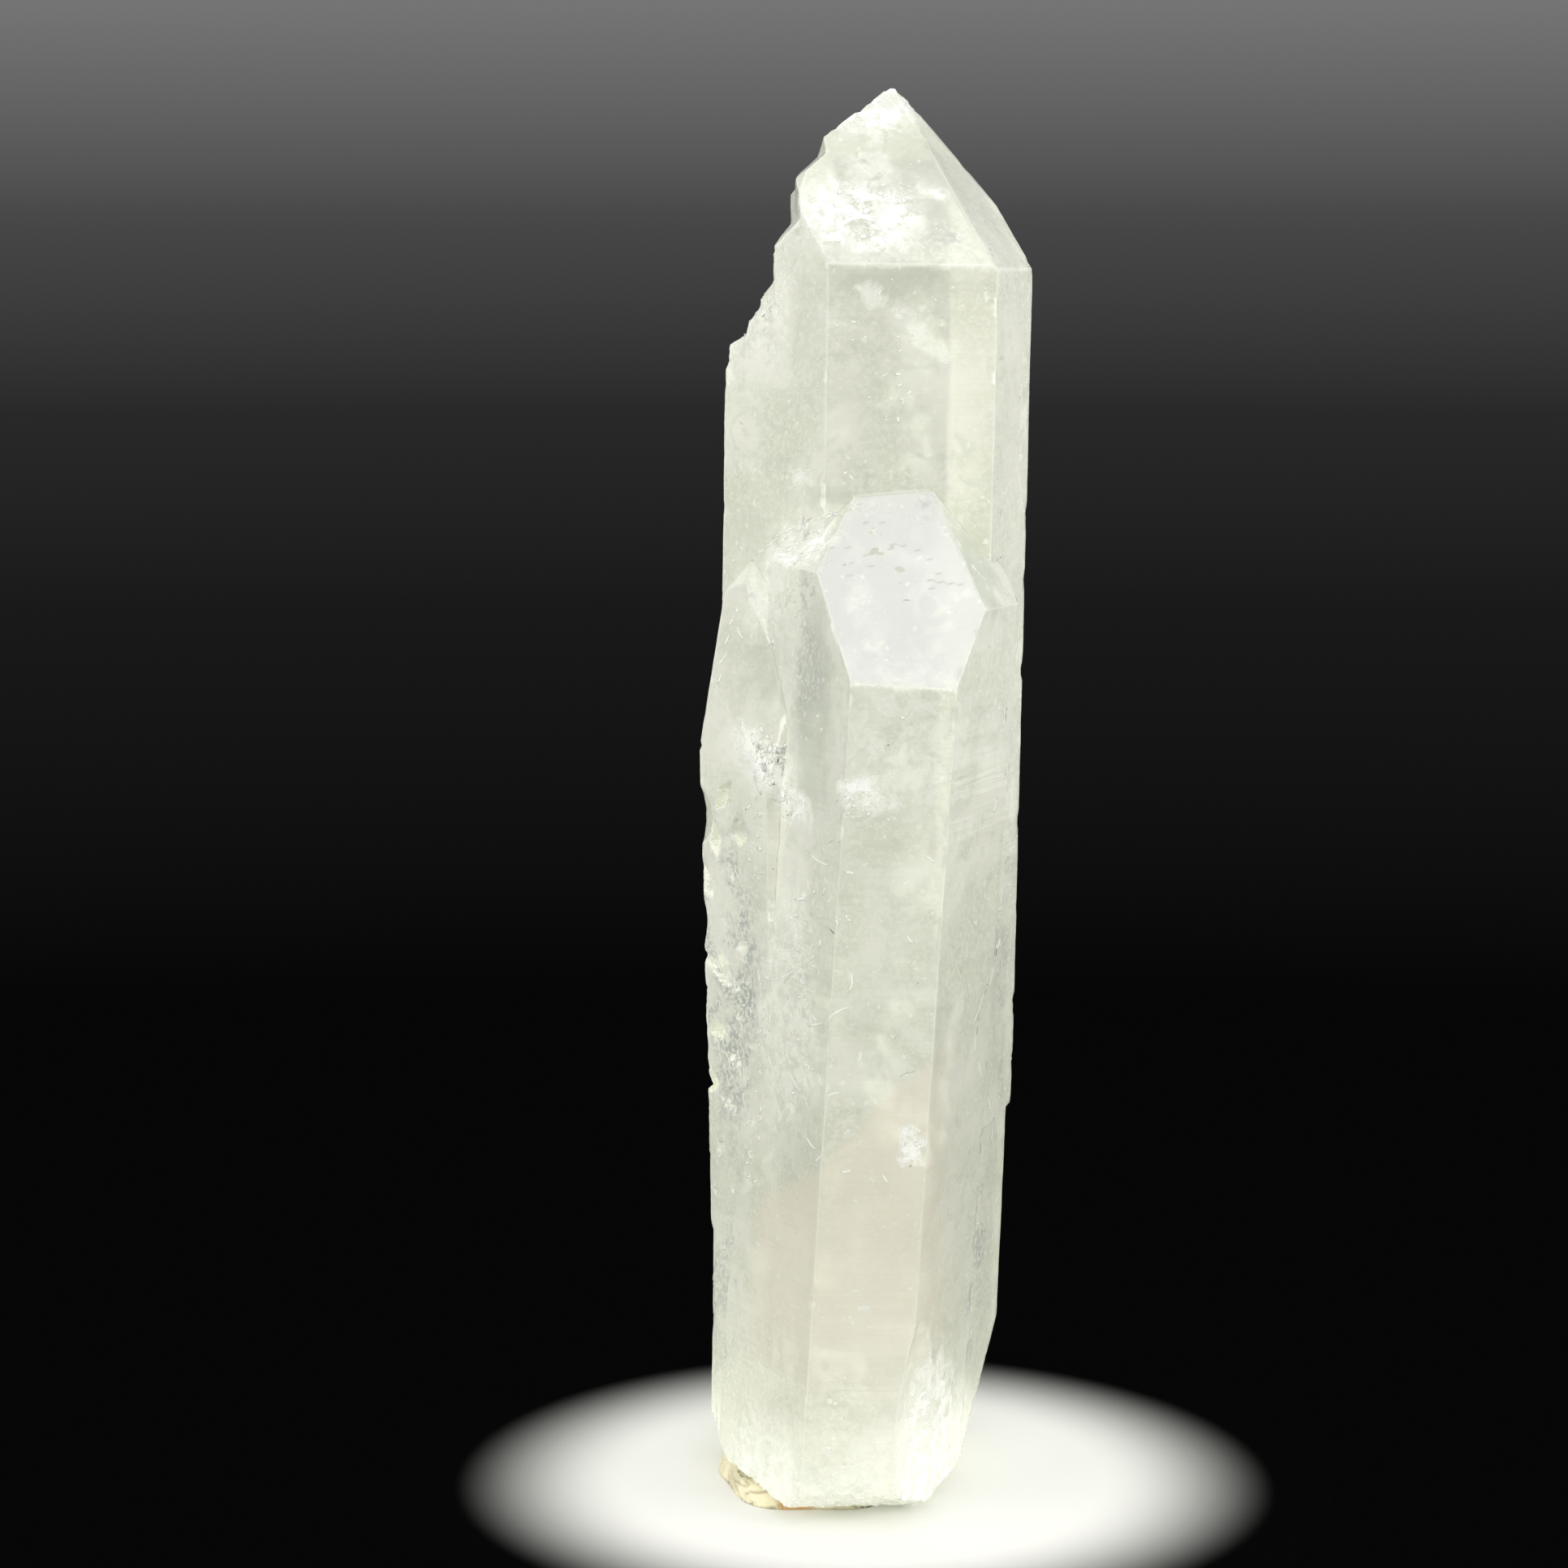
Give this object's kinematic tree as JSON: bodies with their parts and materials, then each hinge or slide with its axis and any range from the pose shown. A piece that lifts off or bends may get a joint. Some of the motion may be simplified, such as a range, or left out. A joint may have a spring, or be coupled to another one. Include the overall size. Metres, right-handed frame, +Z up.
{
  "type": "faden quartz specimen",
  "caption": "Upright faden quartz, parallel crystals grown together with a broken foot, standing on a small pad of putty.",
  "frame": {"origin": "on the standing surface, under the middle of the specimen's outline", "axes": "+Z up along the crystals, -Y towards the side with the large sloping facet, +X to the right seen from that side"},
  "size_m": [0.0237, 0.0259, 0.1001],
  "materials": {
    "quartz": "natural crystal faces, clear to milky inside, with etched and broken areas",
    "putty": "matt modelling putty, kneaded and squashed, with a rusty stain"
  },
  "bodies": {
    "root": {"crystal": "quartz", "putty": "putty"}
  },
  "joints": []
}
